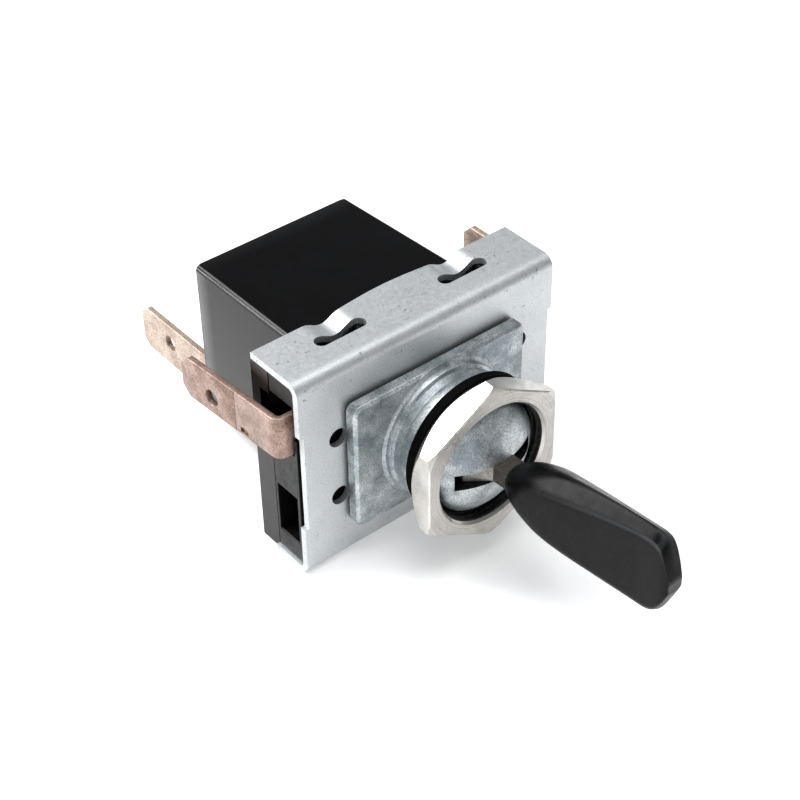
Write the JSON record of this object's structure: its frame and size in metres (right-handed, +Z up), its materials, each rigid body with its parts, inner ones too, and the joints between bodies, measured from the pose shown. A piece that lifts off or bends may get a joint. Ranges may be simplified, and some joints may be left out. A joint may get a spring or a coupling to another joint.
{
  "type": "panel toggle switch",
  "caption": "Bush-mounted panel toggle switch with a flat paddle lever, a sheet-metal bracket, a boxed rear moulding, a hex nut and push-on blade terminals.",
  "frame": {"origin": "where the bush axis meets the front face of the bracket", "axes": "+X right along the bracket's long side, +Y to the rear, the lever points towards -Y, +Z up"},
  "size_m": [0.0399, 0.0796, 0.0264],
  "materials": {
    "zinc_plated_steel": "zinc plated, satin, fine scratches",
    "zinc_casting": "as-cast zinc alloy, fine speckle",
    "pin_steel": "ground",
    "black_rubber": "matt",
    "nickel_plated_brass": "nickel plated brass, turned face",
    "stem_metal": "plated brass, dulled",
    "black_knob": "satin black",
    "plunger_brass": "turned",
    "spring_steel": "bright drawn wire",
    "red_fibre": "pressed fibre sheet",
    "black_moulding": "satin moulding",
    "black_housing": "gloss moulding",
    "tarnished_copper": "tarnished, pinkish brown",
    "brown_phenolic": "phenolic board",
    "silver_contact": "silver faced",
    "carriage_moulding": "moulded",
    "contact_copper": "copper strip"
  },
  "bodies": {
    "switch_body": {"frame_bracket": "zinc_plated_steel", "bush_casting": "zinc_casting", "bush_ring": "zinc_plated_steel", "pivot_pin": "pin_steel", "seal_washer": "black_rubber", "fibre_insulator": "red_fibre", "front_moulding": "black_moulding", "rear_housing": "black_housing", "terminal_left": "tarnished_copper", "terminal_right": "tarnished_copper", "terminal_rear": "tarnished_copper", "contact_base": "brown_phenolic", "contact_stud_left": "silver_contact", "contact_stud_right": "silver_contact", "contact_stud_centre": "silver_contact"},
    "nut": {"hex_nut": "nickel_plated_brass"},
    "lever": {"lever_stem": "stem_metal", "lever_knob": "black_knob", "plunger_spring": "spring_steel"},
    "plunger": {"plunger": "plunger_brass"},
    "carriage": {"contact_carriage": "carriage_moulding", "moving_contact": "contact_copper", "contact_spring_upper": "spring_steel", "contact_spring_lower": "spring_steel"}
  },
  "joints": [
    {"name": "lever_swing", "type": "hinge", "parent": "switch_body", "child": "lever", "pos_m": [0, -0.0025, 0], "axis": [0, 0, 1], "range_deg": [-20.8, 15.8]},
    {"name": "plunger_slide", "type": "slide", "parent": "lever", "child": "plunger", "axis": [-0.0436, 0.999, 0], "range_m": [-0.0008, 0], "stiffness_N_per_m": 300, "deforming": ["plunger_spring"]},
    {"name": "carriage_slide", "type": "slide", "parent": "switch_body", "child": "carriage", "axis": [1, 0, 0], "range_m": [-0.00253, 0.00334]},
    {"name": "nut_turn", "type": "hinge", "parent": "switch_body", "child": "nut", "pos_m": [0, -0.0086, 0], "axis": [0, 1, 0], "continuous": true}
  ],
  "couplings": [
    {"joint": "lever_swing", "follows": "carriage_slide", "rad_per_m": -107.01}
  ]
}
